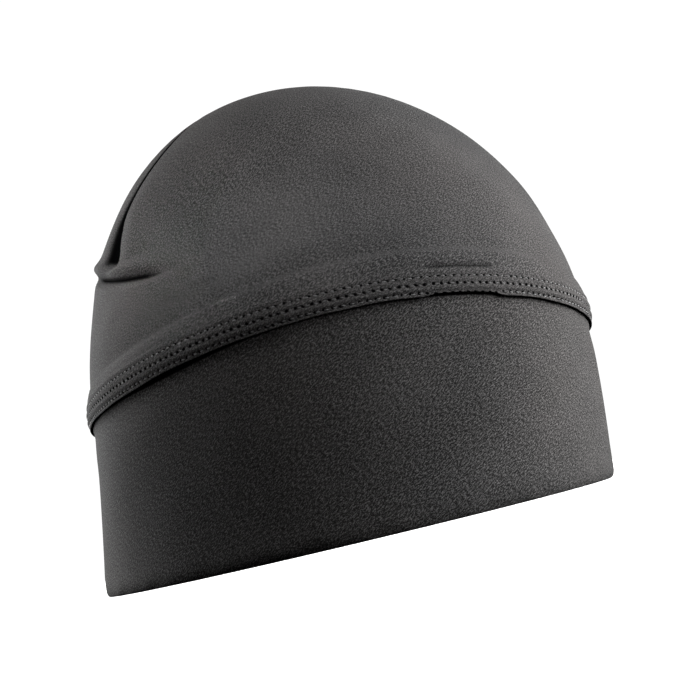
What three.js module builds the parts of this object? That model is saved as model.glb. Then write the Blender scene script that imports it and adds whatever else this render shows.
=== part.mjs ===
// Thermal beanie: a domed crown sewn onto a deep band that is folded double at the rim.
// Millimetres, +Z up. The rim rests on Z = 0, the front faces -Y, and one dart is at each side, -X and +X.

import * as THREE from "three";

// Size of the whole cap
const HALF_WIDTH = 87; // X half axis of the band's outer face
const HALF_DEPTH = 97; // Y half axis of the band's outer face
const CAP_HEIGHT = 160.8;
const SEAM_HEIGHT = 57; // from the rim to the lower edge of the crown's hem
// The hem rises and falls in waves: how many there are once round, their height, and a crest's angle in degrees
const HEM_WAVES = [
  { count: 1, rise: 4.8, crest: -167 },
  { count: 2, rise: 4.1, crest: -110.5 },
  { count: 3, rise: 0.6, crest: 0 },
];
const TILT_ENDS = [67, 105]; // the crown grows level again between these heights

// The cap leans towards +X between its rim and its top
const LEAN = 7.9;
const LEAN_SPAN = 168; // height of one half wave of the lean
const RIM_SHIFT = -4.2; // centre of the rim, so that the cap is centred on the origin

// Cloth
const CLOTH = 1.4; // crown, one layer
const FOLDED_CLOTH = 2.8; // band, two layers
const FOLD_SWELL = 0.3; // how much thicker the fold at the rim is, each way
const GAP = 0.3; // between the band's face and the hem over it

// Dome of the crown
const DOME_BASE = 59;
const DOME_INSET = 1.2; // the dome starts this far inside the band's face
const DOME_RISE = 1.96; // two powers of the dome's curve: an ellipse has 2 and 2
const DOME_ROUND = 2.12;

// Seam over the top, which opens into a dart at each side
const SEAM_AHEAD = 4; // how far the seam lies in front of the plane Y = 0
const SEAM_DEPTH = 0.8;
const SEAM_RUN_OUT = 3; // width of the slope behind the seam
const DART_DEPTH = 4.6;
const DART_RUN_OUT = 21;
const DART_LIP = 1.3; // width of the steep front wall
const DART_SWEEP = 4; // how much further in front the dart's lower end lies
const DART_END = 105;
const DART_OPENS = 138;
const PUFF = { rise: 0.9, ahead: 7, halfWidth: 6 }; // the front panel swells beside the dart
const SHOULDER = { rise: 0.9, back: 26, height: 113, halfWidth: 12 }; // and the back panel at its end

// Tuck below each dart: a roll of cloth with a crease under it, which slopes down to the front
const TUCK = { height: 101.8, slope: 0.276, bow: 0.0008 };
const CREASE = { depth: 2.2, halfWidth: 1.7, front: -46, back: 36 };
const ROLL = { rise: 1.6, halfWidth: 2.1, above: 3, front: -38, back: 44 };
const TUCK_FADE = 20; // length over which the tuck's ends die out
const TUCK_LEVEL = 40; // behind this the tuck is level
const RING_BEND = 45; // the rings run along the tuck to this distance in front

// Hem of the crown, outer face from its lower edge up to the dome
const HEM_OUTSIDE = [
  { height: 57.0, out: 0.6 },
  { height: 57.5, out: 1.2 },
  { height: 60.2, out: 1.5 },
  { height: 63.4, out: 1.2 },
  { height: 65.6, out: 0.5 },
  { height: 68.6, out: -0.5 },
];

// Hem of the crown, inner face from the dome down over the band's top edge
const HEM_INSIDE = [
  { height: 68.2, out: -2.6 },
  { height: 65.4, out: -2.0 },
  { height: 64.1, out: -1.1 },
  { height: 63.6, out: GAP },
  { height: 60.2, out: GAP },
  { height: 57.0, out: GAP },
];

// Band, once round its wall from the outer top edge: down the face, round the fold and up the inside
const BAND_LOOP = [
  { height: 63.2, out: -0.4 },
  { height: 62.6, out: 0 },
  { height: 57.2, out: -0.1 },
  { height: 54.5, out: -0.5 },
  { height: 47.0, out: 0 },
  { height: 30.0, out: 0.2 },
  { height: 12.0, out: 0.2 },
  { height: 4.5, out: FOLD_SWELL },
  { height: 1.5, out: 0 },
  { height: 0.4, out: -0.5 },
  { height: 0, out: -1.0 },
  { height: 0, out: 0.6 - FOLDED_CLOTH },
  { height: 0.5, out: -FOLDED_CLOTH },
  { height: 2.5, out: -FOLDED_CLOTH - FOLD_SWELL },
  { height: 8.0, out: -FOLDED_CLOTH },
  { height: 30.0, out: 0.2 - FOLDED_CLOTH },
  { height: 54.5, out: -0.3 - FOLDED_CLOTH },
  { height: 62.6, out: -0.1 - FOLDED_CLOTH },
  { height: 63.2, out: 0.4 - FOLDED_CLOTH },
];

// Heights of the dome's rings: close together where the tuck and the dart's end are
const DOME_RINGS = [
  { from: 72, to: 90, rings: 5 },
  { from: 96, to: 116, rings: 13 },
  { from: 120, to: 140, rings: 6 },
];
const TOP_RINGS = 6;

// Stations round the cap, in degrees from each dart's plane, close together at the dart
const DART_STATIONS = [1, 3, 6, 9.5, 13.5, 18, 23, 29];
const PLAIN_STATIONS = 13; // between two darts' last stations

const smooth = (t) => THREE.MathUtils.smoothstep(t, 0, 1);
const hump = (distance, halfWidth) => Math.exp(-((distance / halfWidth) ** 2));
const lean = (z) => RIM_SHIFT + LEAN * Math.sin((Math.PI * z) / LEAN_SPAN);

// Angles round +Z from +X, in radians.
function stations() {
  const sides = [0, 180].flatMap((dart) => [
    dart,
    ...DART_STATIONS.flatMap((step) => [dart - step, dart + step]),
  ]);
  const last = DART_STATIONS.at(-1);
  const step = (180 - 2 * last) / (PLAIN_STATIONS + 1);
  const plain = [0, 180].flatMap((dart) =>
    Array.from({ length: PLAIN_STATIONS }, (_, i) => dart + last + (i + 1) * step),
  );
  return [...sides, ...plain]
    .map((degrees) => (degrees + 360) % 360)
    .sort((a, b) => a - b)
    .map(THREE.MathUtils.degToRad);
}
const ANGLES = stations();

// How far a ring at this height is pulled up or down so that it follows the hem's waves.
function tilt(angle, z) {
  const [from, to] = TILT_ENDS;
  const share = Math.min(z / SEAM_HEIGHT, 1) * (1 - smooth((z - from) / (to - from)));
  const wave = ({ count, rise, crest }) =>
    rise * Math.cos(count * (angle - THREE.MathUtils.degToRad(crest)));
  return HEM_WAVES.reduce((sum, each) => sum + wave(each), 0) * share;
}

// A point beside the band's outer face.
function beside(angle, { height, out }) {
  return new THREE.Vector3(
    lean(height) + (HALF_WIDTH + out) * Math.cos(angle),
    (HALF_DEPTH + out) * Math.sin(angle),
    height + tilt(angle, height),
  );
}

// Height of the crease at a place on the cap's side, above its height at the dart.
const creaseRise = (y) => {
  const reached = Math.min(y, TUCK_LEVEL);
  return TUCK.slope * reached + TUCK.bow * reached * reached;
};

// How far a ring of the dome is bent so that it runs along the tuck.
function alongTuck(y, z) {
  const [low, middle, high] = DOME_RINGS;
  const below = smooth((z - low.from) / (middle.from - low.from));
  const above = smooth((high.to - z) / (high.to - middle.to));
  const beyond = 1 - smooth((Math.abs(y) - RING_BEND) / RING_BEND);
  return creaseRise(Math.max(y, -RING_BEND)) * below * above * beyond;
}

// Strength of the tuck from its front end to its back end.
const tuckShare = (y, { front, back }) =>
  smooth((y - front) / TUCK_FADE) * smooth((back - y) / TUCK_FADE);

// Width of the dome at a height, as a share of its width at its base.
const domeShare = (z) =>
  Math.max(1 - ((z - DOME_BASE) / (CAP_HEIGHT - DOME_BASE)) ** DOME_RISE, 0) ** (1 / DOME_ROUND);

// How far the seam has opened into the dart at a height, from 0 to 1.
const opened = (z) => 1 - smooth((z - DART_END) / (DART_OPENS - DART_END));

// How far in front of the plane Y = 0 the seam and the dart lie at a height.
const ahead = (z) => (SEAM_AHEAD + DART_SWEEP * opened(z)) * smooth(2 * domeShare(z));

// How far the crown's cloth stands out (+) or sinks in (-) at a place on its side, for the seam, dart and tuck.
function relief(y, z) {
  const open = opened(z);
  const depth = THREE.MathUtils.lerp(SEAM_DEPTH, DART_DEPTH, open);
  const runOut = THREE.MathUtils.lerp(SEAM_RUN_OUT, DART_RUN_OUT, open);
  const behind = y + ahead(z);
  const across =
    behind < 0 ? Math.max(1 + behind / DART_LIP, 0) : Math.max(1 - behind / runOut, 0) ** 1.5;
  const begun = smooth((z - DART_END) / 4 + 1);
  const puff = PUFF.rise * open * begun * hump(behind + PUFF.ahead, PUFF.halfWidth);
  const shoulder =
    SHOULDER.rise *
    hump(y - SHOULDER.back, SHOULDER.halfWidth) *
    hump(z - SHOULDER.height, SHOULDER.halfWidth);
  const crease = TUCK.height + creaseRise(y);
  const sunk = CREASE.depth * tuckShare(y, CREASE) * hump(z - crease, CREASE.halfWidth);
  const roll = ROLL.rise * tuckShare(y, ROLL) * hump(z - crease - ROLL.above, ROLL.halfWidth);
  return puff + shoulder + roll - sunk - depth * across * begun;
}

// A point on the dome's outer face, or under it by the given depth of cloth. The stations are turned a little, so
// that those at the dart run along the seam.
function onDome(station, ringHeight, under) {
  const [a, b] = [HALF_WIDTH - DOME_INSET, HALF_DEPTH - DOME_INSET];
  const depth = b * domeShare(ringHeight);
  const angle = station - Math.asin(ahead(ringHeight) / Math.max(depth, 1)) * Math.cos(station);
  const z = ringHeight + alongTuck(depth * Math.sin(angle), ringHeight);
  const rise = (z - DOME_BASE) / (CAP_HEIGHT - DOME_BASE);
  const share = domeShare(z);
  const [x, y] = [a * share * Math.cos(angle), b * share * Math.sin(angle)];
  const round = DOME_ROUND * share ** (DOME_ROUND - 2);
  const level = (DOME_RISE * rise ** (DOME_RISE - 1)) / (CAP_HEIGHT - DOME_BASE);
  const outward = new THREE.Vector3((round * x) / a ** 2, (round * y) / b ** 2, level).normalize();
  return new THREE.Vector3(lean(z) + x, y, z + tilt(angle, z)).addScaledVector(
    outward,
    relief(y, z) - under,
  );
}

// Heights of the dome's rings, from the hem to just under the top.
function domeHeights() {
  const sides = DOME_RINGS.flatMap(({ from, to, rings }) =>
    Array.from({ length: rings }, (_, i) => from + ((to - from) * i) / (rings - 1)),
  );
  const last = DOME_RINGS.at(-1).to;
  const reach = CAP_HEIGHT - last;
  // The steps shrink towards the top, where the dome is nearly level.
  const top = Array.from({ length: TOP_RINGS }, (_, i) => {
    const left = 1 - (i + 1) / (TOP_RINGS + 1);
    return CAP_HEIGHT - reach * left ** 2;
  });
  return [...sides, ...top];
}

// Closes rings of points into one skin. The rings run on in order, and either end in a point at each end or join up.
function skin(rings, ends) {
  const around = ANGLES.length;
  const points = rings.flat();
  const faces = [];
  const quad = (row, next) => {
    for (let i = 0; i < around; i++) {
      const j = (i + 1) % around;
      const [a, b] = [row * around + i, row * around + j];
      const [c, d] = [next * around + i, next * around + j];
      faces.push(a, c, b, b, c, d);
    }
  };
  for (let row = 0; row + 1 < rings.length; row++) quad(row, row + 1);
  if (ends) {
    const [first, last] = [points.length, points.length + 1];
    const lastRow = (rings.length - 1) * around;
    points.push(...ends);
    for (let i = 0; i < around; i++) {
      const j = (i + 1) % around;
      faces.push(first, i, j);
      faces.push(last, lastRow + j, lastRow + i);
    }
  } else {
    quad(rings.length - 1, 0);
  }
  const geometry = new THREE.BufferGeometry().setFromPoints(points);
  geometry.setIndex(faces);
  geometry.computeVertexNormals();
  return geometry;
}

function crown() {
  const heights = domeHeights();
  const ring = (point) => ANGLES.map(point);
  const outside = heights.toReversed().map((z) => ring((angle) => onDome(angle, z, 0)));
  const hemOutside = HEM_OUTSIDE.toReversed().map((row) => ring((angle) => beside(angle, row)));
  const hemInside = HEM_INSIDE.toReversed().map((row) => ring((angle) => beside(angle, row)));
  const inside = heights.map((z) => ring((angle) => onDome(angle, z, CLOTH)));
  return skin(
    [...outside, ...hemOutside, ...hemInside, ...inside],
    [onDome(0, CAP_HEIGHT, 0), onDome(0, CAP_HEIGHT, CLOTH)],
  );
}

function band() {
  return skin(BAND_LOOP.map((row) => ANGLES.map((angle) => beside(angle, row))));
}

const cloth = new THREE.MeshStandardMaterial({
  name: "charcoal_knit",
  color: 0x2f2e2e,
  roughness: 0.8,
  metalness: 0,
  side: THREE.DoubleSide,
});

const beanie = new THREE.Group();
for (const [name, geometry] of Object.entries({ crown: crown(), band: band() })) {
  const mesh = new THREE.Mesh(geometry, cloth);
  mesh.name = name;
  beanie.add(mesh);
}

export default beanie;
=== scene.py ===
"""A thermal beanie of dark stretch cloth, dressed over its CAD frame.

The crown and the band are finer surfaces of the CAD solids' form, with the stitched hem, the seam over
the top, its darts and their tucks. Both are soft goods, shaped by vertex moves from a primitive's grid.
"""

from __future__ import annotations

import logging
import math
from dataclasses import dataclass, field
from enum import Enum
from typing import Any, Callable, Sequence

import bpy
import numpy as np
from mathutils import Matrix, Vector

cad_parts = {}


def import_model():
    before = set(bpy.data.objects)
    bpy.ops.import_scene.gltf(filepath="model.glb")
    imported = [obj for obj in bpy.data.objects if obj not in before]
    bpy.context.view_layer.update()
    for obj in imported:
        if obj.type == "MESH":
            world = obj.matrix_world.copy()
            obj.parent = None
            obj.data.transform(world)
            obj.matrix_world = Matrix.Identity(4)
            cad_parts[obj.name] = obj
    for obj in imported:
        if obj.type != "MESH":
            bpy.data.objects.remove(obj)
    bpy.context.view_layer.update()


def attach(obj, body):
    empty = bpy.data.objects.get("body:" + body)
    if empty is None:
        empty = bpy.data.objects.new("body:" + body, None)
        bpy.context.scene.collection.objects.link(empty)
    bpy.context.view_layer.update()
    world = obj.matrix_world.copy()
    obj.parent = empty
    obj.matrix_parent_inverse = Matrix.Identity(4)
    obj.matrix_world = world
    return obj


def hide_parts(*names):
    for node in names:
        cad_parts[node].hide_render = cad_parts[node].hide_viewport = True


log = logging.getLogger("beanie")
Array = np.ndarray
Piece = bpy.types.Object
MM = 0.001
TURN = 2.0 * math.pi
WHITE = (1.0, 1.0, 1.0, 1.0)
# the colour of painted shade, where little light reaches
PAINTED_SHADE_BLACK = (0.0012, 0.0012, 0.0013, 1.0)


def smooth(t: Array | float) -> Array:
    """Returns the smooth step of t from 0 to 1."""
    t = np.clip(t, 0.0, 1.0)
    return t * t * (3.0 - 2.0 * t)


def ramp(value: Array | float, start: float, end: float) -> Array:
    """Returns the smooth step of value from 0 at start to 1 at end, which may lie below it."""
    return smooth((value - start) / (end - start))


def hump(distance: Array | float, half_width: float) -> Array:
    """Returns a soft bump of height 1 at distance 0."""
    return np.exp(-((np.asarray(distance) / half_width) ** 2))


def wrapped(angle: Array | float) -> Array:
    """Returns the same angle within half a turn of 0."""
    return (np.asarray(angle) + math.pi) % TURN - math.pi


def running(steps: Array) -> Array:
    """Returns the running total of the steps, from 0."""
    return np.concatenate([[0.0], np.cumsum(steps)])


@dataclass(frozen=True)
class Swell:
    """A soft rise of the cloth in millimetres, or a groove where its rise is negative."""

    rise: float
    at: float
    half_width: float

    def over(self, where: Array | float) -> Array:
        """Returns how far the cloth is raised at each place."""
        return self.rise * hump(where - self.at, self.half_width)


def spline(points: Sequence[Sequence[float]], steps: int) -> Array:
    """Runs a smooth curve through points.

    Args:
        points: the points that the curve goes through, in order.
        steps: how many parts each stretch between two points is cut into.

    Returns:
        The points on the curve, with both ends.
    """
    p = np.asarray(points, float)
    p = np.vstack([2 * p[0] - p[1], p, 2 * p[-1] - p[-2]])
    t = (np.arange(steps) / steps)[:, None]
    parts = []
    for a, b, c, d in zip(p[:-3], p[1:-2], p[2:-1], p[3:]):
        bend = 2 * b + (c - a) * t + (2 * a - 5 * b + 4 * c - d) * t**2 + (3 * b - a - 3 * c + d) * t**3
        parts.append(bend / 2)
    return np.vstack([*parts, p[-2][None]])


# ---- the cap's form


class Part(Enum):
    """The parts of the crown's grid, from its outer top over the hem's edge to its inner top."""

    OUTSIDE = "outside"
    HEM = "hem"
    INSIDE = "inside"


@dataclass(frozen=True)
class CapForm:
    """The cap's form in millimetres.

    It has the CAD source's sizes, but for a finer seam over the top, darts' ends and roll.
    """

    half_width: float = 87.0
    half_depth: float = 97.0
    cap_height: float = 160.8
    cloth: float = 1.4
    seam_height: float = 57.0
    hem_waves: tuple[tuple[int, float, float], ...] = ((1, 4.8, -167.0), (2, 4.1, -110.5), (3, 0.6, 0.0))
    tilt_ends: tuple[float, float] = (67.0, 105.0)
    lean_by: float = 7.9
    lean_span: float = 168.0
    rim_shift: float = -4.2
    dome_base: float = 59.0
    dome_inset: float = 1.2
    dome_rise: float = 1.96
    dome_round: float = 2.12
    seam_depth: float = 0.8
    seam_run_out: float = 3.0
    dart_depth: float = 4.6
    dart_run_out: float = 21.0
    dart_lip: float = 1.3
    dart_sweep: float = 4.0
    dart_end: float = 105.0
    dart_opens: float = 138.0
    seam_ahead: float = 4.0
    top_ahead: float = 10.0
    top_zone: tuple[float, float] = (118.0, 144.0)
    lip_ahead: Swell = Swell(1.8, 104.5, 4.5)
    puff: Swell = Swell(0.9, -7.0, 6.0)
    cheek: tuple[Swell, Swell] = (Swell(0.9, 26.0, 12.0), Swell(1.0, 113.0, 12.0))
    tuck_height: float = 101.8
    tuck_slope: float = 0.276
    tuck_bow: float = 0.0008
    tuck_level: float = 40.0
    tuck_fade: float = 20.0
    groove: Swell = Swell(2.2, 0.0, 1.7)
    groove_ends: tuple[float, float] = (-46.0, 36.0)
    roll_rise: float = 1.6
    roll_above: float = 3.0
    roll_widths: tuple[float, float] = (3.2, 2.1)
    roll_ends: tuple[float, float] = (-38.0, 44.0)
    ring_bend: float = 45.0
    bend_in: tuple[float, float] = (72.0, 96.0)
    bend_out: tuple[float, float] = (140.0, 120.0)
    fine_steps: int = 7201

    def lean(self, z: Array) -> Array:
        """Returns where the cap's middle lies along X at height z."""
        return self.rim_shift + self.lean_by * np.sin(math.pi * z / self.lean_span)

    def tilt(self, angle: Array, z: Array) -> Array:
        """Returns how far a ring is raised so that it follows the hem's waves."""
        share = np.minimum(z / self.seam_height, 1.0) * (1.0 - ramp(z, *self.tilt_ends))
        waves = (
            rise * np.cos(count * (angle - math.radians(crest)))
            for count, rise, crest in self.hem_waves
        )
        return share * sum(waves)

    def beside(self, angle: Array, height: Array, out: Array) -> Array:
        """Returns points beside the band's outer face.

        Args:
            angle: angles round the cap from +X.
            height: heights above the rim.
            out: distances out from the band's face.

        Returns:
            The points, with X, Y and Z along the last axis.
        """
        angle, height, out = np.broadcast_arrays(angle, height, out)
        return np.stack(
            [
                self.lean(height) + (self.half_width + out) * np.cos(angle),
                (self.half_depth + out) * np.sin(angle),
                height + self.tilt(angle, height),
            ],
            -1,
        )

    def rise(self, z: Array) -> Array:
        """Returns how far height z is up the dome, from 0 to 1."""
        return np.maximum((z - self.dome_base) / (self.cap_height - self.dome_base), 0.0)

    def share(self, z: Array) -> Array:
        """Returns the dome's width at height z as a share of its width at its base."""
        return np.maximum(1.0 - self.rise(z) ** self.dome_rise, 0.0) ** (1.0 / self.dome_round)

    def crease_rise(self, y: Array) -> Array:
        """Returns the crease's height at y, above its height at the dart."""
        reached = np.minimum(y, self.tuck_level)
        return self.tuck_slope * reached + self.tuck_bow * reached**2

    def crease(self, y: Array) -> Array:
        """Returns the crease's height at y."""
        return self.tuck_height + self.crease_rise(y)

    def along_tuck(self, y: Array, z: Array) -> Array:
        """Returns how far a ring is bent so that it runs along the tuck."""
        near = ramp(z, *self.bend_in) * ramp(z, *self.bend_out)
        beyond = 1.0 - smooth((np.abs(y) - self.ring_bend) / self.ring_bend)
        return self.crease_rise(np.maximum(y, -self.ring_bend)) * near * beyond

    def tuck_share(self, y: Array, ends: tuple[float, float]) -> Array:
        """Returns the tuck's strength from its front end to its back end."""
        front, back = ends
        return smooth((y - front) / self.tuck_fade) * smooth((back - y) / self.tuck_fade)

    def opened(self, z: Array) -> Array:
        """Returns how far the seam has opened into the dart at height z, from 0 to 1."""
        return 1.0 - ramp(z, self.dart_end, self.dart_opens)

    def begun(self, z: Array) -> Array:
        """Returns 0 below the dart's end and 1 above it."""
        return ramp(z, self.dart_end - 2.5, self.dart_end + 1.5)

    def ahead(self, z: Array) -> Array:
        """Returns how far in front of the cap's middle plane the seam and the dart lie at height z."""
        over = self.top_ahead * ramp(z, *self.top_zone)
        sweep = self.dart_sweep * self.opened(z)
        return (self.seam_ahead + sweep + over + self.lip_ahead.over(z)) * smooth(2.0 * self.share(z))

    def relief(self, y: Array, z: Array) -> Array:
        """Returns how far the cloth stands out or sinks in at the seam, the dart and the tuck."""
        opened = self.opened(z)
        depth = self.seam_depth + (self.dart_depth - self.seam_depth) * opened
        run_out = self.seam_run_out + (self.dart_run_out - self.seam_run_out) * opened
        behind = y + self.ahead(z)
        across = np.where(
            behind < 0,
            np.maximum(1.0 + behind / self.dart_lip, 0.0),
            np.maximum(1.0 - np.maximum(behind, 0.0) / run_out, 0.0) ** 1.5,
        )
        begun = self.begun(z)
        puff = self.puff.over(behind) * opened * begun
        cheek = self.cheek[0].over(y) * self.cheek[1].over(z)
        above = z - self.crease(y)
        sunk = self.groove.over(above) * self.tuck_share(y, self.groove_ends)
        over = above - self.roll_above
        roll = hump(over / np.where(over > 0, *self.roll_widths), 1.0)
        roll = roll * self.roll_rise * self.tuck_share(y, self.roll_ends)
        return puff + cheek + roll - sunk - depth * across * begun

    def on_dome(self, angle: Array, ring: Array, lift: Array) -> Array:
        """Returns points on the dome.

        Args:
            angle: angles round the cap from +X, before the columns are turned to run along the seam.
            ring: heights of the rings before they are bent along the tuck.
            lift: distances out from the cloth's outer face.

        Returns:
            The points, with X, Y and Z along the last axis.
        """
        angle, ring = np.broadcast_arrays(angle, ring)
        a, b = self.half_width - self.dome_inset, self.half_depth - self.dome_inset
        depth = b * self.share(ring)
        angle = angle - np.arcsin(self.ahead(ring) / np.maximum(depth, 1.0)) * np.cos(angle)
        z = ring + self.along_tuck(depth * np.sin(angle), ring)
        share = self.share(z)
        x, y = a * share * np.cos(angle), b * share * np.sin(angle)
        bulge = self.dome_round * share ** (self.dome_round - 2.0)
        level = self.dome_rise * self.rise(z) ** (self.dome_rise - 1.0) / (self.cap_height - self.dome_base)
        outward = np.stack([bulge * x / a**2, bulge * y / b**2, level], -1)
        outward /= np.linalg.norm(outward, axis=-1, keepdims=True)
        place = np.stack([self.lean(z) + x, y, z + self.tilt(angle, z)], -1)
        return place + outward * (self.relief(y, z) + lift)[..., None]

    def around(self, angle: Array) -> Array:
        """Returns the length round the seam from angle 0 to each angle."""
        fine = np.linspace(0.0, TURN, self.fine_steps)
        pace = np.hypot(self.half_width * np.sin(fine), self.half_depth * np.cos(fine))
        length = running((pace[1:] + pace[:-1]) / 2.0 * np.diff(fine))
        turns = np.floor(angle / TURN)
        return np.interp(angle - turns * TURN, fine, length) + turns * length[-1]

    def angle_at(self, length: Array) -> Array:
        """Returns the angles at lengths round the seam."""
        fine = np.linspace(0.0, TURN, self.fine_steps)
        whole = self.around(fine)
        whole[-1] = self.girth
        turns = np.floor(length / self.girth)
        return np.interp(length - turns * self.girth, whole, fine) + turns * TURN

    @property
    def girth(self) -> float:
        """The length once round the seam."""
        return float(4.0 * self.around(np.array(math.pi / 2.0)))


FORM = CapForm()


@dataclass(frozen=True)
class SeamPlan:
    """Where the three needles' rows run on the hem, and how long their stitches are."""

    rows: tuple[float, ...] = (58.05, 60.45, 62.75)
    stitches: int = 232
    front: float = math.radians(-98.0)
    front_fade: tuple[float, float] = (1.3, 2.1)
    drawn: tuple[float, float, float] = (0.9, 0.45, -0.6)
    spread: float = 0.1
    spread_up_to: float = 6.5
    warp_fade: tuple[float, float] = (63.5, 71.0)
    rolled_under: tuple[float, float] = (-1.8, -1.54)
    rolled_fade: float = 0.06
    groove: float = 0.34
    groove_width: float = 0.6
    swells: tuple[Swell, ...] = (Swell(0.2, 59.25, 0.7), Swell(0.2, 61.6, 0.7), Swell(0.12, 64.0, 0.8))
    pucker: Swell = Swell(0.4, 65.9, 0.7)
    gather: Swell = Swell(0.05, 68.5, 2.6)

    @property
    def pitch(self) -> float:
        """The length of one stitch."""
        return FORM.girth / self.stitches

    def rolled(self, angle: Array) -> Array:
        """Returns 1 where the hem's lower edge is rolled under at the front, and 0 elsewhere."""
        turn, fade = wrapped(angle), self.rolled_fade
        low, high = self.rolled_under
        return smooth((turn - low) / fade + 0.5) * smooth((high - turn) / fade + 0.5)

    def from_front(self, angle: Array) -> tuple[Array, Array]:
        """Returns the angle away from the front, and a share that fades out towards the back."""
        away = wrapped(np.asarray(angle) - self.front)
        return away, 1.0 - ramp(np.abs(away), *self.front_fade)

    def drawn_up(self, angle: Array) -> Array:
        """Returns how far the hem's edge is drawn up at the sides, and down at the front."""
        away, share = self.from_front(angle)
        once, twice, down = self.drawn
        return (once * (1.0 - np.cos(away)) + twice * (1.0 - np.cos(2.0 * away)) + down) * share

    def warp(self, angle: Array, height: Array) -> Array:
        """Returns how far the cloth of the hem is shifted up from its plain height."""
        away, share = self.from_front(angle)
        wider = self.spread * (1.0 - np.cos(2.0 * away)) * share
        spread = np.clip(height - FORM.seam_height, 0.0, self.spread_up_to) * wider
        return (self.drawn_up(angle) + spread) * (1.0 - ramp(height, *self.warp_fade))

    def relief(self, angle: Array, height: Array) -> Array:
        """Returns how far the hem's cloth stands out between the rows and sinks in along them."""
        sunk = self.groove * sum(hump(height - row, self.groove_width) for row in self.rows)
        between = sum(swell.over(height) for swell in self.swells)
        pucker = self.pucker.over(height) * self.rolled(angle)
        stride = TURN * FORM.around(angle) / FORM.girth
        waves = np.sin(stride * 41.0 + 1.3 * np.sin(stride * 5.0)) + 0.6 * np.sin(stride * 67.0 + 2.0)
        gather = self.gather.over(height) * waves * (0.6 + 0.4 * np.sin(stride * 3.0 + 0.8))
        return between - sunk - pucker + gather


SEAM = SeamPlan()


# ---- mesh work


def deselect() -> None:
    """Deselects every object."""
    if bpy.context.object and bpy.context.object.mode != "OBJECT":
        bpy.ops.object.mode_set(mode="OBJECT")
    bpy.ops.object.select_all(action="DESELECT")


def activate(obj: Piece) -> None:
    """Selects one object alone and makes it the active one."""
    deselect()
    obj.select_set(True)
    bpy.context.view_layer.objects.active = obj


def take(name: str) -> Piece:
    """Names the primitive that was just added and returns it."""
    obj = bpy.context.object
    obj.name = obj.data.name = name
    return obj


def places(obj: Piece) -> Array:
    """Returns the mesh's vertex positions."""
    flat = np.empty(len(obj.data.vertices) * 3, np.float32)
    obj.data.vertices.foreach_get("co", flat)
    return flat.astype(np.float64).reshape(-1, 3)


def move_to(obj: Piece, points: Array) -> None:
    """Moves the mesh's vertices, given in millimetres."""
    obj.data.vertices.foreach_set("co", (np.asarray(points) * MM).astype(np.float32).ravel())
    obj.data.update()


def set_uv(obj: Piece, name: str, uv: Array) -> None:
    """Adds a UV map from one pair of numbers per face corner."""
    layer = obj.data.uv_layers.new(name=name)
    layer.uv.foreach_set("vector", uv.astype(np.float32).ravel())


def set_mask(obj: Piece, name: str, values: Array) -> None:
    """Adds an attribute of one number per vertex."""
    layer = obj.data.attributes.new(name, "FLOAT", "POINT")
    layer.data.foreach_set("value", values.astype(np.float32).ravel())


def add_object(name: str, data: Any) -> Piece:
    """Adds an object that holds a light or a camera."""
    obj = bpy.data.objects.new(name, data)
    bpy.context.scene.collection.objects.link(obj)
    return obj


def shade_smooth(obj: Piece) -> None:
    """Shades a piece smooth."""
    activate(obj)
    bpy.ops.object.shade_smooth()


def corner_grid(obj: Piece, row: Array, column: Array, columns: int) -> tuple[Array, ...]:
    """Finds the grid place of each face corner, with the last column followed by column number `columns`.

    Args:
        obj: a grid that closes round.
        row: the row of each vertex.
        column: the column of each vertex.
        columns: how many columns there are.

    Returns:
        The row and column of each face corner, and the mean column of its face.
    """
    mesh = obj.data
    vertex = np.empty(len(mesh.loops), np.int32)
    mesh.loops.foreach_get("vertex_index", vertex)
    first = np.empty(len(mesh.polygons), np.int32)
    mesh.polygons.foreach_get("loop_start", first)
    count = np.diff(np.append(first, len(vertex)))
    face = np.repeat(np.arange(len(first)), count)
    at = column[vertex].astype(float)
    pole = np.isnan(at)
    high = np.fmax.reduceat(at, first)[face]
    low = np.fmin.reduceat(at, first)[face]
    at = np.where((high - low > columns / 2) & (at < columns / 2), at + columns, at)
    total = np.add.reduceat(np.where(pole, 0.0, at), first) / np.add.reduceat((~pole).astype(float), first)
    middle = total[face]
    return row[vertex], np.where(pole, middle, at), middle


def grid_number(turn: Array, count: int) -> Array:
    """Returns which of `count` even steps round a circle each angle is."""
    return np.rint(turn / TURN * count).astype(int) % count


def uneven(stations: Sequence[tuple[float, float, float]], start: float, count: int) -> Array:
    """Spreads columns round the cap, closer together where there is more to show.

    Args:
        stations: each such place's angle, its half width as an angle and how much closer its columns are.
        start: the angle of column 0.
        count: how many columns there are.

    Returns:
        The angle of each column, and at the end that of column 0 again, a whole turn on.
    """
    fine = np.linspace(0.0, TURN, 2 * FORM.fine_steps - 1)
    weight = np.ones_like(fine)
    for angle, half, closer in stations:
        weight += closer * hump(wrapped(fine + start - angle), half)
    total = running((weight[1:] + weight[:-1]) / 2.0)
    return start + np.interp(np.arange(count + 1) / count * total[-1], total, fine)


# ---- shader maths


def operator(operation: str, turned: bool = False) -> Callable[[Shade, Shade | float], Shade]:
    """Makes a method that adds a Math node.

    Args:
        operation: the node's operation.
        turned: whether the other value comes first.

    Returns:
        The method.
    """

    def method(self: Shade, other: Shade | float) -> Shade:
        """Adds the node."""
        return self.math(operation, *((other, self) if turned else (self, other)))

    return method


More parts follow.
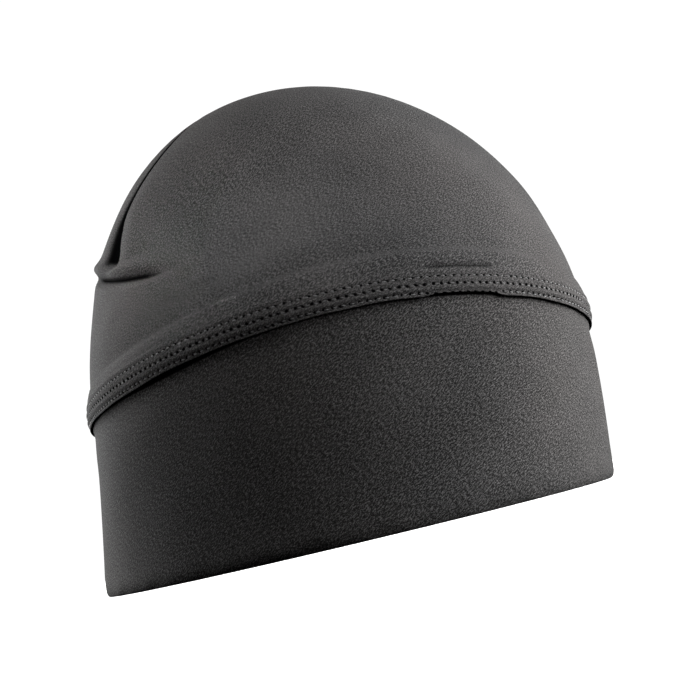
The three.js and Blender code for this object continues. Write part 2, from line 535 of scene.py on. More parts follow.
class Shade:
    """A socket with arithmetic, so that shader maths reads as Python expressions."""

    def __init__(self, kit: NodeKit, socket: bpy.types.NodeSocket) -> None:
        """Wraps an output socket."""
        self.kit = kit
        self.socket = socket

    def math(self, operation: str, *values: Shade | float) -> Shade:
        """Adds a Math node."""
        return self.kit.make("ShaderNodeMath", {"operation": operation}, dict(enumerate(values)))

    __add__ = __radd__ = operator("ADD")
    __sub__ = operator("SUBTRACT")
    __rsub__ = operator("SUBTRACT", turned=True)
    __mul__ = __rmul__ = operator("MULTIPLY")

    def fraction(self) -> Shade:
        """Returns the part after the decimal point."""
        return self.math("FRACT", self)

    def bell(self, half_width: float) -> Shade:
        """Returns a soft bump of height 1 where this is 0."""
        ratio = self * (1.0 / half_width)
        return self.math("EXPONENT", ratio * ratio * -1.0)

    def between(self, low: float, high: float) -> Shade:
        """Returns a smooth step from 0 at low to 1 at high."""
        ends = {"Value": self, "From Min": low, "From Max": high}
        return self.kit.make("ShaderNodeMapRange", {"interpolation_type": "SMOOTHSTEP"}, ends)


class NodeKit:
    """Makes the nodes of one material or world."""

    def __init__(self, owner: bpy.types.Material | bpy.types.World) -> None:
        """Starts with no nodes."""
        self.owner = owner
        owner.use_nodes = True
        self.tree = owner.node_tree
        self.tree.nodes.clear()

    def make(
        self,
        kind: str,
        settings: dict[str, Any] | None = None,
        inputs: dict[Any, Any] | None = None,
        output: int | str = 0,
    ) -> Shade:
        """Adds a node.

        Args:
            kind: the node's type.
            settings: its own settings, which are set first.
            inputs: for each socket, by name or number, a value or what is linked to it.
            output: the output that is wanted.

        Returns:
            That output.
        """
        node = self.tree.nodes.new(kind)
        for name, value in (settings or {}).items():
            setattr(node, name, value)
        for name, value in (inputs or {}).items():
            if isinstance(value, Shade):
                self.tree.links.new(value.socket, node.inputs[name])
            else:
                node.inputs[name].default_value = value
        return Shade(self, node.outputs[output] if node.outputs else node.inputs[0])

    def mix_colour(self, factor: Shade | float, low: Any, high: Any, blend: str = "MIX") -> Shade:
        """Mixes two colours, each a link or three numbers."""
        low, high = (v if isinstance(v, Shade) else (*v, 1.0) for v in (low, high))
        return self.make(
            "ShaderNodeMix",
            {"data_type": "RGBA", "blend_type": blend, "clamp_factor": True},
            {0: factor, 6: low, 7: high},
            output=2,
        )

    def body(self) -> Shade:
        """Reads the piece's own coordinates."""
        return self.make("ShaderNodeTexCoord", output="Object")

    def map(self, name: str) -> Shade:
        """Reads a UV map."""
        return self.make("ShaderNodeUVMap", {"uv_map": name})

    def mask(self, name: str) -> Shade:
        """Reads an attribute of one number per vertex."""
        return self.make("ShaderNodeAttribute", {"attribute_name": name}, output="Fac")

    def place(self, vector: Shade, scale: Sequence[float], turn: float = 0.0) -> Shade:
        """Turns and scales a pattern's coordinates."""
        turned = self.make("ShaderNodeMapping", {}, {"Vector": vector, "Rotation": (0.0, 0.0, turn)})
        return self.make("ShaderNodeMapping", {}, {"Vector": turned, "Scale": tuple(scale)})

    def noise(self, vector: Shade, scale: float, detail: float, rough: float = 0.5) -> Shade:
        """Adds a noise texture and returns its strength."""
        inputs = {"Vector": vector, "Scale": scale, "Detail": detail, "Roughness": rough}
        return self.make("ShaderNodeTexNoise", {"noise_dimensions": "3D"}, inputs)

    def bump(self, height: Shade, distance: float, strength: float = 1.0, **under: Shade) -> Shade:
        """Turns a height from 0 to 1 into a normal, over another one if it is given as Normal."""
        inputs = {"Height": height, "Distance": distance, "Strength": strength, **under}
        return self.make("ShaderNodeBump", {}, inputs)

    def surface(self, inputs: dict[Any, Any], painted_shade: Shade | None = None) -> bpy.types.Material:
        """Ends the material in a Principled shader, with painted shade from a near-black unlit one mixed in
        where it is asked for.

        Args:
            inputs: the shader's values and links.
            painted_shade: where shade is painted by mixing in a near-black unlit shader, if there are such
                places.

        Returns:
            The finished material.
        """
        shader = self.make("ShaderNodeBsdfPrincipled", {}, inputs)
        # painted shade: a near-black unlit shader is mixed in by the mask
        if painted_shade is not None:
            lightless = {"Base Color": PAINTED_SHADE_BLACK, "Roughness": 1.0, "Specular IOR Level": 0.0}
            unlit = self.make("ShaderNodeBsdfPrincipled", {}, lightless)
            shader = self.make("ShaderNodeMixShader", {}, {0: painted_shade, 1: shader, 2: unlit})
        self.make("ShaderNodeOutputMaterial", {}, {"Surface": shader})
        return self.owner


# ---- finishes


@dataclass(frozen=True)
class KnitFinish:
    """Brushed stretch knit: fine loops in slanting rows, with a soft uneven nap over them."""

    name: str
    dark: tuple[float, float, float]
    light: tuple[float, float, float]
    rough: float = 0.8
    specular: float = 0.03
    sheen: float = 0.01
    sheen_rough: float = 0.4
    slant: float = -0.55
    loop: tuple[float, float] = (1.0, 0.36)
    nap: float = 0.34
    loop_share: float = 0.55
    clouds: float = 0.25
    patches: float = 0.2
    flecks: tuple[float, float] = (0.44, 0.66)
    relief: float = 0.22
    stitched: bool = False
    pit_depth: float = 0.42
    pit_length: float = 0.21
    pit_sizes: tuple[float, ...] = (0.42, 0.42, 0.3)
    pit_jog: tuple[float, float] = (0.6, 0.5)
    pit_slant: float = 0.1
    # where the painted shade's mask begins and is full; a narrow span gives a crisp edge
    shadow_edge: tuple[float, float] = (0.0, 1.0)

    def material(self) -> bpy.types.Material:
        """Builds the finish from the piece's "weave" map, in metres, and its attribute of painted shade."""
        kit = NodeKit(bpy.data.materials.new(self.name))
        weave = kit.map("weave")
        wide, high = (1.0 / (size * MM) for size in self.loop)
        loops = kit.noise(kit.place(weave, (wide, high, 1.0), self.slant), 1.0, 2.0, 0.75)
        nap = kit.noise(weave, 1.0 / (self.nap * MM), 2.0, 0.75)
        grain = loops * self.loop_share + nap * (1.0 - self.loop_share)
        cloud = kit.noise(weave, 42.0, 3.0, 0.6)
        patch = kit.noise(kit.body(), 14.0, 2.0)
        low, high_edge = self.shadow_edge
        # painted shade: the mask, its edge roughened by the nap, mixes in a near-black unlit shader
        painted_shade = (kit.mask("painted_shade") + (nap - 0.5) * 0.3 * (1.0 - high_edge + low)).between(low, high_edge)
        tone = grain.between(*self.flecks) + (cloud - 0.5) * self.clouds + (patch - 0.5) * self.patches
        normal = kit.bump(grain, self.relief * MM)
        if self.stitched:
            pit_holes_and_shade = self._pits(kit)
            normal = kit.bump(1.0 - pit_holes_and_shade, self.pit_depth * MM, Normal=normal)
            # the needle holes get painted shade as well as their bump
            painted_shade = painted_shade + pit_holes_and_shade - painted_shade * pit_holes_and_shade
        warm = kit.mix_colour((patch - 0.5) * 2.4 + 0.5, (0.985, 1.0, 1.012), (1.03, 1.0, 0.985))
        colour = kit.mix_colour(tone, self.dark, self.light)
        colour = kit.mix_colour(1.0, colour, warm, "MULTIPLY")
        return kit.surface(
            {
                "Base Color": colour,
                "Roughness": self.rough + (nap - 0.5) * 0.16,
                "Normal": normal,
                "Specular IOR Level": self.specular,
                "Sheen Weight": self.sheen,
                "Sheen Roughness": self.sheen_rough,
                "Sheen Tint": (0.86, 0.88, 0.9, 1.0),
            },
            painted_shade,
        )

    def _pits(self, kit: NodeKit) -> Shade:
        """Returns the needle holes of the three rows.

        Args:
            kit: the material's nodes. Its "stitch" map counts stitches along and millimetres up.

        Returns:
            A share from 0 to 1, for the holes' bump and their painted shade.
        """
        stitch = kit.map("stitch")
        along, up = (kit.make("ShaderNodeSeparateXYZ", {}, {0: stitch}, output=axis) for axis in ("X", "Y"))
        jog = kit.noise(kit.place(stitch, (0.7, 0.35, 1.0)), 1.0, 1.0) - 0.5
        jog_along, jog_up = self.pit_jog
        slant = (up - SEAM.rows[1]) * self.pit_slant
        across = ((along + jog * jog_along + slant).fraction() - 0.5).bell(self.pit_length)
        rows = [(up - row + jog * jog_up).bell(size) for row, size in zip(SEAM.rows, self.pit_sizes)]
        return (across * (rows[0] + rows[1] + rows[2])).between(0.12, 0.72)


@dataclass(frozen=True)
class ThreadFinish:
    """Dull sewing thread of twisted fibres."""

    name: str
    colour: tuple[float, float, float]
    rough: float = 0.55

    def material(self) -> bpy.types.Material:
        """Builds the finish from object coordinates."""
        kit = NodeKit(bpy.data.materials.new(self.name))
        body = kit.body()
        twist = kit.noise(body, 2600.0, 2.0)
        lot = kit.noise(body, 60.0, 1.0)
        tone = twist.between(0.3, 0.7) * 0.7 + lot * 0.3
        low = tuple(0.45 * c for c in self.colour)
        return kit.surface(
            {
                "Base Color": kit.mix_colour(tone, low, self.colour),
                "Roughness": self.rough + (twist - 0.5) * 0.2,
                "Normal": kit.bump(twist, 0.06 * MM, 0.6),
                "Specular IOR Level": 0.4,
                "Sheen Weight": 0.2,
                "Sheen Roughness": 0.4,
            }
        )


@dataclass(frozen=True)
class FloorFinish:
    """Plain white studio floor."""

    name: str = "studio_floor"
    white: float = 0.9
    glow: float = 0.4

    def material(self) -> bpy.types.Material:
        """Builds the finish."""
        kit = NodeKit(bpy.data.materials.new(self.name))
        tone = kit.noise(kit.body(), 3.0, 2.0)
        return kit.surface(
            {
                "Base Color": kit.mix_colour(tone, (self.white,) * 3, (0.99 * self.white,) * 3),
                "Roughness": 0.9,
                "Specular IOR Level": 0.0,
                "Emission Color": WHITE,
                "Emission Strength": self.glow,
            }
        )


# ---- the crown


Stretches = Sequence[tuple[float, float, int]]  # from a height, to a height, in so many rows
Profile = Sequence[tuple[float, float]]  # heights above the rim and distances out from the band's face


@dataclass
class Crown:
    """The domed top with its hem, the seam over the top, the darts and their tucks."""

    columns: int = 528
    crowd: Sequence[tuple[float, float, float]] = ((0.0, 0.16, 3.2), (math.pi, 0.16, 3.2), (-1.67, 0.12, 1.5))
    dome_rows: Stretches = ((72.0, 92.0, 13), (92.0, 120.0, 42), (120.0, 141.0, 16))
    top_rows: int = 13
    inner_rows: Stretches = ((72.0, 92.0, 4), (92.0, 118.0, 24), (118.0, 141.0, 8))
    inner_top_rows: int = 6
    hem_outside: Profile = (
        (72.0, -1.75), (70.3, -1.15), (68.6, -0.5), (67.1, 0.05), (65.6, 0.5), (64.6, 0.85), (63.4, 1.2),
        (61.8, 1.42), (60.2, 1.45), (58.8, 1.3), (57.6, 1.15), (57.1, 0.95), (57.0, 0.7),
    )
    hem_inside: Profile = (
        (57.05, 0.48), (57.4, 0.32), (60.2, 0.3), (63.5, 0.28), (64.2, -1.1), (65.4, -2.0), (68.2, -2.75),
    )
    shoulder_rise: float = 0.7
    edge_lift: float = 0.8
    edge_wave: float = 0.2
    slow_fold: float = 0.22
    quick_fold: float = 0.05
    # painted shade where little light reaches, in millimetres behind the seam, above the crease or up the hem
    clear_of_crease: tuple[float, float] = (4.0, 6.5)
    valley_start: tuple[float, float] = (-0.8, 0.0)
    valley_reach: tuple[float, float, float] = (1.56, 4.8, 4.8)
    valley_fade: tuple[float, float] = (1.0, 9.0)
    slope_shade: float = 0.42
    slope_start: tuple[float, float] = (-0.5, 1.5)
    slope_end: tuple[float, float] = (22.0, 6.0)
    crease_ends: tuple[float, float] = (-42.0, 32.0)
    crease_shade: Swell = Swell(1.0, -0.2, 1.1)
    edge_shade: tuple[float, float] = (57.15, 56.95)
    behind_hem: float = 63.8
    pucker_shade: Swell = Swell(0.75, 65.8, 0.6)
    finish: KnitFinish = KnitFinish(
        "crown_knit", (0.011, 0.0107, 0.0107), (0.1, 0.0975, 0.0975), stitched=True
    )
    rows: list[tuple[Part, float, float]] = field(default_factory=list)

    def plan_rows(self) -> None:
        """Lists the rows from the outer top to the inner top: part, height and distance out."""
        outer = self.dome_heights(self.dome_rows, self.top_rows)[1:]
        inner = self.dome_heights(self.inner_rows, self.inner_top_rows)
        hem = spline([*self.hem_outside, *self.hem_inside], 2)
        self.rows = [(Part.OUTSIDE, h, 0.0) for h in reversed(outer)]
        self.rows += [(Part.HEM, float(h), float(out)) for h, out in hem]
        self.rows += [(Part.INSIDE, h, 0.0) for h in inner]

    def dome_heights(self, stretches: Stretches, top: int) -> list[float]:
        """Lists heights up the dome.

        Args:
            stretches: the even stretches below the top.
            top: how many rows the top has under its peak, closer together towards it.

        Returns:
            The heights, with the peak last.
        """
        low = [h for a, b, n in stretches for h in np.linspace(a, b, n, endpoint=False)]
        peak, last = FORM.cap_height, stretches[-1][1]
        left = 1.0 - np.arange(top) / top
        return [*low, *(peak - (peak - last) * share**2 for share in left), peak]

    @property
    def behind_edge(self) -> int:
        """The number of the first row behind the hem's edge."""
        first = next(i for i, row in enumerate(self.rows) if row[0] is Part.HEM)
        return first + 2 * len(self.hem_outside)

    def place_rows(self, angles: Array) -> Array:
        """Places every row.

        Args:
            angles: the angle of each column.

        Returns:
            The points by row and column, in millimetres.
        """
        placed = []
        for i, (part, height, out) in enumerate(self.rows):
            level = np.full_like(angles, height)
            if part is Part.OUTSIDE:
                soft = self.soft_folds(angles, height) + self.shoulder(height)
                placed.append(FORM.on_dome(angles, level, soft))
            elif part is Part.INSIDE:
                placed.append(FORM.on_dome(angles, level, np.full_like(angles, -FORM.cloth)))
            else:
                placed.append(self.place_hem(angles, level, out, i < self.behind_edge))
        return np.stack(placed)

    def place_hem(self, angles: Array, level: Array, out: float, outside: bool) -> Array:
        """Places one row of the hem.

        Args:
            angles: the angle of each column.
            level: the row's height at each column.
            out: its distance out from the band's face.
            outside: whether it is on the hem's outer face, which runs up onto the dome.

        Returns:
            The points, in millimetres.
        """
        over_edge = level - FORM.seam_height
        lifted = self.edge_lift * SEAM.rolled(angles) * hump(over_edge, 1.0)
        lifted = lifted + self.edge_wave * self.wave(angles) * hump(over_edge, 2.5)
        height = level + SEAM.warp(angles, level) + np.maximum(lifted, -0.1)
        if not outside:
            return FORM.beside(angles, height, out)
        full = self.shoulder(level)
        ring = FORM.beside(angles, height, out + SEAM.relief(angles, level) + full)
        onto = ramp(level, 70.0, 72.0)[:, None]
        return ring * (1.0 - onto) + FORM.on_dome(angles, level, full) * onto

    def shoulder(self, height: Array | float) -> Array:
        """Returns how far the cloth just above the hem is held out by the seam under it."""
        return self.shoulder_rise * ramp(height, 63.0, 71.0) * (1.0 - ramp(height, 70.0, 96.0))

    def wave(self, angles: Array) -> Array:
        """Returns a slight rise and fall of the hem's edge."""
        return 0.6 * np.sin(9.0 * angles + 0.4) + 0.4 * np.sin(23.0 * angles + 1.9)

    def soft_folds(self, angles: Array, height: float) -> Array:
        """Returns the slight unevenness of cloth that is drawn over a head."""
        share = FORM.share(height)
        x = (FORM.half_width - 1.0) * share * np.cos(angles)
        y = (FORM.half_depth - 1.0) * share * np.sin(angles)
        calm = ramp(height, 72.0, 84.0) * ramp(height, 158.0, 138.0)
        slow = np.sin(x / 17.0 + height / 23.0 + 0.6) * np.sin(y / 21.0 - height / 31.0)
        quick = np.sin(x / 7.3 - height / 9.0 + 1.1) * np.sin(y / 8.9 + height / 12.0 + 0.3)
        return calm * (self.slow_fold * slow + self.quick_fold * quick)

    def painted_shade(self, points: Array, angles: Array) -> Array:
        """Returns where shade is painted: where the cloth lies far in a fold or against the band, so that
        little light reaches it.

        Args:
            points: the points by row and column.
            angles: the angle of each column.

        Returns:
            A share from 0 to 1 by row and column.
        """
        y, z = points[..., 1], points[..., 2] - FORM.tilt(angles, points[..., 2])
        opened = FORM.opened(z)
        above = z - FORM.crease(y)
        begun = FORM.begun(z) * ramp(above, *self.clear_of_crease)
        behind = y + FORM.ahead(z)
        reach = np.polynomial.polynomial.polyval(opened, self.valley_reach)
        fade = np.polynomial.polynomial.polyval(opened, self.valley_fade)
        # painted shade in the dart's valley, on its slope and under the tuck's crease
        valley = ramp(behind, *self.valley_start) * (1.0 - smooth((behind - reach) / fade)) * begun
        slope = self.slope_shade * opened * begun * ramp(behind, *self.slope_start)
        slope = slope * ramp(behind, *self.slope_end)
        under = FORM.tuck_share(y, self.crease_ends) * self.crease_shade.over(above)
        found = np.clip(np.maximum.reduce([valley, slope, under]), 0.0, 1.0)
        # painted shade under the hem's edge, over its inner face behind it and in the pucker; none inside the
        # dome
        for i, (part, height, out) in enumerate(self.rows):
            if part is Part.HEM:
                found[i] = ramp(height, *self.edge_shade) if out > 0.5 else float(height < self.behind_hem)
                found[i] = np.maximum(found[i], self.pucker_shade.over(height) * SEAM.rolled(angles))
            elif part is Part.INSIDE:
                found[i] = 0.0
        return found

    def build(self) -> Piece:
        """Builds the crown from a sphere's grid."""
        self.plan_rows()
        n, last = self.columns, len(self.rows) - 1
        deselect()
        bpy.ops.mesh.primitive_uv_sphere_add(segments=n, ring_count=last, radius=1.0)
        obj = take("crown_cloth")
        ball = places(obj)
        row = np.rint(np.arccos(np.clip(ball[:, 2], -1, 1)) / math.pi * last).astype(int)
        column = grid_number(np.arctan2(ball[:, 1], ball[:, 0]), n)
        angles = uneven(self.crowd, 0.0, n)
        points = self.place_rows(angles)
        move_to(obj, points[row, column])
        pole = (row == 0) | (row == last)
        self.map_cloth(obj, row, np.where(pole, np.nan, column), angles, points)
        # painted shade in the dart's valley, under the tuck's crease and under and behind the hem's edge
        set_mask(obj, "painted_shade", self.painted_shade(points, angles)[row, column])
        shade_smooth(obj)
        obj.data.materials.append(self.finish.material())
        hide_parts("crown")
        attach(obj, "root")
        return obj

    def map_cloth(self, obj: Piece, row: Array, column: Array, angles: Array, points: Array) -> None:
        """Adds the "weave" map, true to size on each panel, and the "stitch" map round the hem.

        Args:
            obj: the crown.
            row: the row of each vertex.
            column: the column of each vertex, or not a number at a pole.
            angles: the angle of each column.
            points: the points by row and column.
        """
        at_row, at_column, middle = corner_grid(obj, row, column, self.columns)
        step = np.linalg.norm(np.diff(points, axis=0), axis=-1).mean(1)
        up = -running(step)
        size = np.array([1.0 if part is Part.HEM else FORM.share(h) for part, h, _ in self.rows])
        angle_there = np.interp(at_column, np.arange(self.columns + 1), angles)
        length = FORM.around(angle_there)
        panel = np.where(middle < self.columns / 2, 0.25, 0.75) * FORM.girth
        set_uv(obj, "weave", np.stack([(length - panel) * size[at_row], up[at_row]], -1) * MM)
        no_stitches = 100.0
        height = np.array([h if part is Part.HEM else no_stitches for part, h, _ in self.rows])
        height[self.behind_edge :] = no_stitches
        # the row at the edge is out of sight where the edge is rolled under
        hidden = 0.9 * SEAM.rolled(angle_there) * (height[at_row] < 59.2)
        set_uv(obj, "stitch", np.stack([length / SEAM.pitch, height[at_row] + hidden], -1))


# ---- the band


@dataclass
class Band:
    """The tall band, folded double at the rim, with its closing seam at one side."""

    columns: int = 560
    closing_seam: float = math.radians(-12.0)
    seam_depth: float = 0.45
    seam_slope: float = 90.0
    loop: Profile = (
        (63.2, -0.4), (62.6, 0.0), (60.0, -0.05), (57.2, -0.1), (54.5, -0.45), (47.0, 0.0), (38.0, 0.15),
        (30.0, 0.2), (20.0, 0.2), (12.0, 0.2), (7.5, 0.25), (4.5, 0.3), (2.6, 0.2), (1.2, -0.12),
        (0.35, -0.55), (0.0, -1.1), (0.0, -2.0), (0.35, -2.6), (1.2, -2.95), (2.6, -3.1), (4.5, -3.05),
        (8.0, -2.8), (18.0, -2.65), (30.0, -2.6), (42.0, -2.8), (54.5, -3.1), (59.0, -3.0), (62.6, -2.9),
        (63.2, -2.4), (63.35, -1.4),
    )
    inner: float = -1.5
    soft_wave: float = 0.22
    rim_wave: float = 0.12
    # painted shade under the hem's edge, wider at one side, and in the closing seam
    shade_start: float = 54.9
    shade_fade: float = 4.0
    seam_shade: float = 0.9
    thicker_shade_at: float = -2.74
    thicker_shade: Swell = Swell(1.3, 0.0, 0.3)
    finish: KnitFinish = KnitFinish(
        "band_knit",
        (0.008, 0.0078, 0.0077),
        (0.098, 0.0955, 0.095),
        flecks=(0.45, 0.64),
        shadow_edge=(0.5, 0.62),
    )

    def build(self) -> Piece:
        """Builds the band from a torus's grid."""
        # a torus's rows run from its outside over its top, so the loop is turned round
        ring = spline([*self.loop, self.loop[0]], 3)[:-1][::-1]
        rows, n = len(ring), self.columns
        deselect()
        bpy.ops.mesh.primitive_torus_add(
            major_segments=n, minor_segments=rows, major_radius=1.0, minor_radius=0.25
        )
        obj = take("band_cloth")
        tube = places(obj)
        column = grid_number(np.arctan2(tube[:, 1], tube[:, 0]), n)
        row = grid_number(np.arctan2(tube[:, 2], np.hypot(tube[:, 0], tube[:, 1]) - 1.0), rows)
        angles = uneven([(self.closing_seam, 0.03, 3.0)], self.closing_seam, n)
        points = np.stack([self.place_row(angles, height, out) for height, out in ring])
        move_to(obj, points[row, column])
        at_row, at_column, _ = corner_grid(obj, row, column.astype(float), n)
        step = np.linalg.norm(np.diff(points, axis=0), axis=-1).mean(1)
        length = FORM.around(np.interp(at_column, np.arange(n + 1), angles))
        set_uv(obj, "weave", np.stack([length, running(step)[at_row]], -1) * MM)
        # painted shade under the hem's edge and in the closing seam
        set_mask(obj, "painted_shade", self.painted_shade(angles, ring)[row, column])
        shade_smooth(obj)
        obj.data.materials.append(self.finish.material())
        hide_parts("band")
        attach(obj, "root")
        return obj

    def at_seam(self, angles: Array, half_width: float) -> Array:
        """Returns 1 at the closing seam, and 0 farther from it than about so many millimetres."""
        return hump(wrapped(angles - self.closing_seam) * self.seam_slope, half_width)

    def place_row(self, angles: Array, height: float, out: float) -> Array:
        """Places one row.

        Args:
            angles: the angle of each column.
            height: the row's height.
            out: its distance out from the band's face.

        Returns:
            The points, in millimetres.
        """
        sunk = self.seam_depth * self.at_seam(angles, 0.55) * (1.0 - ramp(height, 52.0, 56.0))
        free = ramp(height, 54.0, 40.0) * ramp(height, 0.5, 8.5)
        slow = np.sin(3.0 * angles + height / 19.0 + 0.5) + 0.6 * np.sin(7.0 * angles - height / 11.0 + 2.1)
        soft = self.soft_wave * free * slow
        rim = self.rim_wave * ramp(height, 6.0, 0.0) * ramp(height, 0.0, 0.8)
        rim = rim * (np.sin(31.0 * angles) + np.sin(53.0 * angles + 1.0))
        facing = 1.0 if out > self.inner else -1.0
        return FORM.beside(angles, height, out + soft + rim - facing * sunk)

    def painted_shade(self, angles: Array, ring: Array) -> Array:
        """Returns where shade is painted, where little light reaches the cloth: under the hem and in the
        closing seam.
        """
        # painted shade in the closing seam and under the hem's edge
        seam = self.seam_shade * self.at_seam(angles, 0.5)
        start = self.shade_start + SEAM.drawn_up(angles) - self.thicker_shade.over(wrapped(angles - self.thicker_shade_at))
        under = [
            np.clip((height - start) / self.shade_fade, 0.0, 1.0) * (out >= self.inner)
            for height, out in ring
        ]
        return np.maximum(np.stack(under), seam)


# ---- the sewing


@dataclass
class Sewing:
    """The hem's three rows of stitches, the thread that covers them inside, and the top seam's stitches."""

    thread: float = 0.17
    length: float = 1.95
    sides: int = 6
    cuts: int = 4
    sunk: float = 0.42
    arch: float = 0.5
    hidden: float = 1.1
    cover_ends: tuple[float, float] = (57.6, 65.0)
    cover_gap: float = 2.0
    inner_face: Profile = ((57.0, -3.05), (62.6, -2.9), (63.3, -2.75), (64.2, -2.5), (65.4, -2.1))
    top_stitch: float = 1.7
    top_pitch: float = 2.6
    top_ends: tuple[float, float] = (105.5, 140.0)
    finish: ThreadFinish = ThreadFinish("charcoal_thread", (0.085, 0.084, 0.086))

    def strand(self, name: str, length: float, radius: float) -> Piece:
        """Models one bit of thread along X, with rings to bend it at.

        Args:
            name: the piece's name.
            length: its length in millimetres.
            radius: its radius in millimetres.

        Returns:
            The bit of thread, in millimetres.
        """
        deselect()
        bpy.ops.mesh.primitive_cylinder_add(vertices=self.sides, radius=radius, depth=length)
        obj = take(name)
        bpy.ops.object.mode_set(mode="EDIT")
        for i in range(1, self.cuts + 1):
            cut = (0.0, 0.0, length * (i / (self.cuts + 1) - 0.5))
            bpy.ops.mesh.select_all(action="SELECT")
            bpy.ops.mesh.bisect(plane_co=cut, plane_no=(0.0, 0.0, 1.0))
        bpy.ops.object.mode_set(mode="OBJECT")
        up = places(obj)
        line = np.stack([up[:, 2], up[:, 1], -up[:, 0]], -1)
        obj.data.vertices.foreach_set("co", line.astype(np.float32).ravel())
        return obj

    def repeat(self, obj: Piece, count: int, pitch: float) -> None:
        """Copies a bit of thread along X with an Array modifier, which is applied."""
        array = obj.modifiers.new("repeat", "ARRAY")
        array.count = count
        array.use_relative_offset = False
        array.use_constant_offset = True
        array.constant_offset_displace = (pitch, 0.0, 0.0)
        activate(obj)
        bpy.ops.object.modifier_apply(modifier=array.name)

    def finish_piece(self, obj: Piece, points: Array) -> Piece:
        """Lays a piece's thread in place and dresses it."""
        move_to(obj, points)
        shade_smooth(obj)
        obj.data.materials.append(self.finish.material())
        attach(obj, "root")
        return obj

    def hem_row(self, number: int) -> Piece:
        """Sews one row of the hem.

        Args:
            number: 0 for the row at the hem's edge, up to 2.

        Returns:
            The row of stitches.
        """
        height, pitch = SEAM.rows[number], SEAM.pitch
        obj = self.strand(f"hem_stitches_{number + 1}", self.length, self.thread)
        self.repeat(obj, SEAM.stitches, pitch)
        line = places(obj)
        which = np.rint(line[:, 0] / pitch)
        local = line[:, 0] - which * pitch
        arch = 1.0 - (2.0 * local / self.length) ** 2
        rng = np.random.default_rng(40 + number)
        slip = rng.normal(0.0, 0.09, SEAM.stitches)[which.astype(int)]
        skew = rng.normal(0.0, 0.06, SEAM.stitches)[which.astype(int)]
        angle = FORM.angle_at((which + 1.0) * pitch + local)
        high = height + line[:, 1] + slip * 0.5 + skew * local
        face = np.interp(high, *zip(*Crown.hem_outside[10:3:-1]))
        out = face + SEAM.relief(angle, high) + line[:, 2] - self.sunk + self.arch * arch
        if number == 0:
            out = out - self.hidden * SEAM.rolled(angle)
        return self.finish_piece(obj, FORM.beside(angle, high + SEAM.warp(angle, high), out))

    def cover_thread(self) -> Piece:
        """Lays the thread that zigzags over the seam's inside."""
        low, high = self.cover_ends
        leg = high - low
        stride = leg + self.cover_gap
        obj = self.strand("hem_cover_thread", leg, self.thread * 0.9)
        self.repeat(obj, SEAM.stitches * 2, stride)
        line = places(obj)
        which = np.rint(line[:, 0] / stride)
        local = (line[:, 0] - which * stride) / leg
        rising = np.where(which % 2 == 0, 1.0, -1.0)
        height = (low + high) / 2.0 + rising * local * leg
        length = (which / 2.0 + local * 0.5) * SEAM.pitch + line[:, 1]
        face = np.interp(height, *zip(*self.inner_face))
        out = face - 0.2 - line[:, 2] - 0.16 * np.cos(math.pi * local) ** 2
        return self.finish_piece(obj, FORM.beside(FORM.angle_at(length), height, out))

    def top_line(self) -> Array:
        """Returns the line of the seam over the top, from one dart's end to the other's, in millimetres."""
        low, high = self.top_ends
        peak, steps = FORM.cap_height, 60
        over = peak - (peak - high) * (1.0 - np.arange(1, steps + 1) / steps) ** 2
        rings = np.concatenate([np.linspace(low, high, steps), over])
        flat = np.zeros_like(rings)
        left, right = FORM.on_dome(flat + math.pi, rings, flat), FORM.on_dome(flat, rings, flat)
        return np.vstack([left, right[::-1][1:]])

    def top_stitches(self) -> Piece:
        """Sews the seam over the top."""
        line = self.top_line()
        reach = running(np.linalg.norm(np.diff(line, axis=0), axis=1))
        count = int(reach[-1] / self.top_pitch)
        pitch = reach[-1] / count
        obj = self.strand("top_seam_stitches", self.top_stitch, self.thread * 0.85)
        self.repeat(obj, count, pitch)
        at = places(obj)
        which = np.rint(at[:, 0] / pitch)
        local = at[:, 0] - which * pitch
        length = np.clip(at[:, 0] + pitch / 2.0, 0.0, reach[-1])
        here = np.stack([np.interp(length, reach, line[:, k]) for k in range(3)], -1)
        outward = (here - np.array([FORM.lean(FORM.dart_end), 0.0, 95.0])) * np.array([1.0, 0.3, 1.0])
        outward /= np.linalg.norm(outward, axis=1, keepdims=True)
        arch = 1.0 - (2.0 * local / self.top_stitch) ** 2
        lift = at[:, 2] - 0.3 + 0.38 * arch
        placed = here + outward * lift[:, None] + np.array([0.0, 1.0, 0.0]) * at[:, 1][:, None]
        return self.finish_piece(obj, placed)

    def build(self) -> list[Piece]:
        """Sews everything."""
        rows = [self.hem_row(i) for i in range(len(SEAM.rows))]
        return [*rows, self.cover_thread(), self.top_stitches()]


# ---- the studio


@dataclass(frozen=True)
class Softbox:
    """One large soft light that faces the cap."""

    name: str
    azimuth: float
    elevation: float
    distance: float
    size: tuple[float, float]
    power: float
    spread: float = 180.0
    aim: tuple[float, float, float] = (0.0, 0.0, 0.08)

    def build(self) -> Piece:
        """Builds the light, at an azimuth that is 0 in front of the cap, as a view's is."""
        a, e = math.radians(self.azimuth), math.radians(self.elevation)
        way = Vector((math.sin(a) * math.cos(e), -math.cos(a) * math.cos(e), math.sin(e)))
        lamp = bpy.data.lights.new(self.name, "AREA")
        lamp.shape = "RECTANGLE"
        lamp.size, lamp.size_y = self.size
        lamp.energy = self.power
        lamp.spread = math.radians(self.spread)
        obj = add_object(self.name, lamp)
        obj.location = Vector(self.aim) + way * self.distance
        obj.rotation_euler = (-way).to_track_quat("-Z", "Y").to_euler()
        return obj


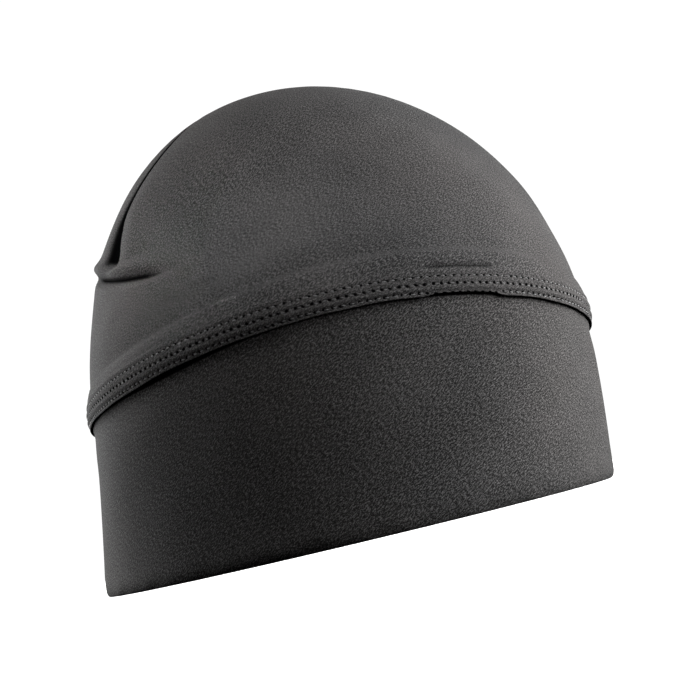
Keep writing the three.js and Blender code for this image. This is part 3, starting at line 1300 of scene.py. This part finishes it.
@dataclass(frozen=True)
class CameraPlace:
    """The camera, in millimetres and degrees, fitted to the cap's outline as it rests on its rim."""

    azimuth: float = -30.4
    distance: float = 420.0
    height: float = 8.0
    yaw: float = -1.3
    pitch: float = 7.81
    roll: float = 13.5
    focal_pixels: float = 1169.0
    image_pixels: float = 700.0
    sensor: float = 36.0

    def build(self) -> Piece:
        """Builds the camera and makes it the scene's."""
        a = math.radians(self.azimuth)
        turn = math.radians(self.azimuth + self.yaw)
        e, r = math.radians(self.pitch), math.radians(self.roll)
        eye = Vector((math.sin(a) * self.distance, -math.cos(a) * self.distance, self.height)) * MM
        look = Vector((-math.sin(turn) * math.cos(e), math.cos(turn) * math.cos(e), math.sin(e)))
        right = Vector((math.cos(turn), math.sin(turn), 0.0))
        up = right.cross(look)
        across = right * math.cos(r) - up * math.sin(r)
        above = right * math.sin(r) + up * math.cos(r)
        data = bpy.data.cameras.new("camera")
        data.sensor_fit = "HORIZONTAL"
        data.sensor_width = self.sensor
        data.lens = self.focal_pixels * self.sensor / self.image_pixels
        data.clip_start = 0.01
        obj = add_object("camera", data)
        obj.matrix_world = Matrix.Translation(eye) @ Matrix((across, above, -look)).transposed().to_4x4()
        bpy.context.scene.camera = obj
        return obj


@dataclass
class Studio:
    """The white floor, the soft lights and the white room."""

    reach: float = 1.9
    room: float = 0.03
    backdrop: float = 1.05
    lights: Sequence[Softbox] = (
        Softbox("left_rim", -165.0, 10.0, 1.1, (0.5, 1.1), 21.5),
        Softbox("left_high", -130.0, 45.0, 1.1, (0.6, 0.6), 17.0),
        Softbox("left_grid", -62.0, 12.0, 0.55, (0.1, 0.03), 0.019, 8.0, (-0.06, -0.053, 0.098)),
        Softbox("right_low", 78.0, 0.0, 1.1, (0.4, 0.8), 37.0),
        Softbox("right_middle", 48.0, 12.0, 1.1, (0.4, 0.6), 18.5),
        Softbox("right_front", 30.0, 30.0, 1.1, (0.5, 0.9), 18.5),
    )
    finish: FloorFinish = FloorFinish()

    def build(self) -> None:
        """Builds the floor, the lights and the room."""
        deselect()
        bpy.ops.mesh.primitive_plane_add(size=self.reach, location=(0.0, 0.0, 0.0))
        floor = take("studio_floor")
        floor.data.materials.append(self.finish.material())
        # the white floor throws no light up on the cap
        floor.visible_diffuse = False
        floor.visible_glossy = False
        for light in self.lights:
            light.build()
        self.light_room()
        bpy.context.scene.view_settings.view_transform = "Standard"

    def light_room(self) -> None:
        """Makes the room white to the camera and a softer light to the cap."""
        world = bpy.data.worlds.new("white_room")
        bpy.context.scene.world = world
        kit = NodeKit(world)
        seen, lit = (
            kit.make("ShaderNodeBackground", {}, {"Color": WHITE, "Strength": strength})
            for strength in (self.backdrop, self.room)
        )
        to_camera = kit.make("ShaderNodeLightPath", output="Is Camera Ray")
        mixed = kit.make("ShaderNodeMixShader", {}, {0: to_camera, 1: lit, 2: seen})
        kit.make("ShaderNodeOutputWorld", {}, {"Surface": mixed})


def main() -> None:
    """Builds the scene over the frame."""
    logging.basicConfig(level=logging.INFO, format="%(name)s: %(message)s")
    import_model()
    CameraPlace().build()
    pieces = [Crown().build(), Band().build(), *Sewing().build()]
    for piece in pieces:
        log.info("%s: %d faces", piece.name, len(piece.data.polygons))
    Studio().build()


if __name__ == "__main__":
    main()
